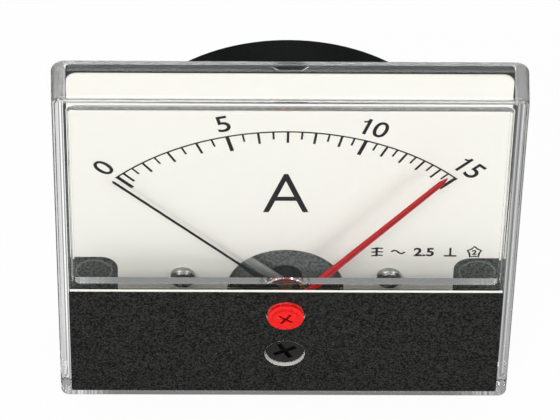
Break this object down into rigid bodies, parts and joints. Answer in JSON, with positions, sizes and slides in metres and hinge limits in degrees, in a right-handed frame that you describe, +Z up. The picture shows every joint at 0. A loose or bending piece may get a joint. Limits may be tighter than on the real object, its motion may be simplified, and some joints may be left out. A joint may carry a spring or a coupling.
{
  "type": "ammeter",
  "caption": "Square panel ammeter for alternating current: clear cover, white dial, moving-iron movement, black pointer, settable red marker hand, zero adjuster and round rear barrel",
  "frame": {"origin": "the centre of the square front on the panel plane, where the barrel's axis and the stud pattern's centre meet it", "axes": "+Y points back through the panel along the barrel, +Z is up the dial, and +X is to the reader's right"},
  "size_m": [0.0806, 0.0401, 0.0806],
  "materials": {
    "clear_plastic": "clear moulded polystyrene, polished",
    "mask_black": "charcoal black film with a fine matt grain",
    "case_black": "black moulded plastic, lightly satin",
    "plated_steel": "zinc-plated steel",
    "dial_white": "warm off-white matt paint on sheet aluminium, printed black",
    "brass": "turned brass",
    "bobbin_brown": "brown phenolic moulding",
    "copper": "enamelled copper wire and bare copper lugs",
    "soft_iron": "annealed soft iron sheet",
    "damper_grey": "dark slate-grey paint",
    "pointer_black": "matt black paint on thin aluminium",
    "aluminium": "thin bright aluminium sheet",
    "spring_bronze": "phosphor bronze strip",
    "screw_red": "bright red moulded plastic",
    "hand_red": "crimson paint on thin aluminium",
    "screw_black": "black moulded plastic"
  },
  "bodies": {
    "case": {"clear_cover": "clear_plastic", "lower_mask": "mask_black", "rear_case": "case_black", "mounting_studs": "plated_steel", "dial_plate": "dial_white", "dial_screws": "plated_steel", "movement_plate": "brass", "plate_screws": "plated_steel", "coil_bobbin": "bobbin_brown", "coil_winding": "copper", "fixed_iron": "soft_iron", "damping_box": "damper_grey", "damping_lid": "damper_grey", "bridge_posts": "brass", "front_bridge": "brass", "bridge_screws": "plated_steel", "front_jewel_screw": "brass", "rear_jewel_screw": "brass", "coil_leads": "copper", "terminal_lugs": "copper", "terminal_studs": "brass", "terminal_washers": "plated_steel", "terminal_nuts": "brass"},
    "movement": {"spindle": "plated_steel", "pointer_hub": "brass", "pointer": "pointer_black", "balance_weights": "brass", "damping_vane": "aluminium", "moving_iron": "soft_iron", "hairspring": "spring_bronze"},
    "red_marker": {"set_screw": "screw_red", "set_hand": "hand_red", "set_ring": "plated_steel"},
    "zero_adjuster": {"zero_screw": "screw_black", "zero_ring": "plated_steel"},
    "zero_arm": {"zero_lever": "brass"}
  },
  "joints": [
    {"name": "pointer_swing", "type": "hinge", "parent": "case", "child": "movement", "pos_m": [0, 0, -0.0166], "axis": [0, 1, 0], "range_deg": [-2, 92], "stiffness_Nm_per_rad": 0.0003, "deforming": ["hairspring"]},
    {"name": "red_marker_turn", "type": "hinge", "parent": "case", "child": "red_marker", "pos_m": [0, 0, -0.0166], "axis": [0, 1, 0], "range_deg": [-83, 7.5]},
    {"name": "zero_screw_turn", "type": "hinge", "parent": "case", "child": "zero_adjuster", "pos_m": [0, 0, -0.0274], "axis": [0, 1, 0], "range_deg": [-40, 40]},
    {"name": "zero_arm_swing", "type": "hinge", "parent": "case", "child": "zero_arm", "pos_m": [0, 0, -0.0166], "axis": [0, 1, 0], "range_deg": [-3.4, 3.4]}
  ],
  "couplings": [
    {"joint": "zero_arm_swing", "follows": "zero_screw_turn", "ratio": -0.083}
  ]
}
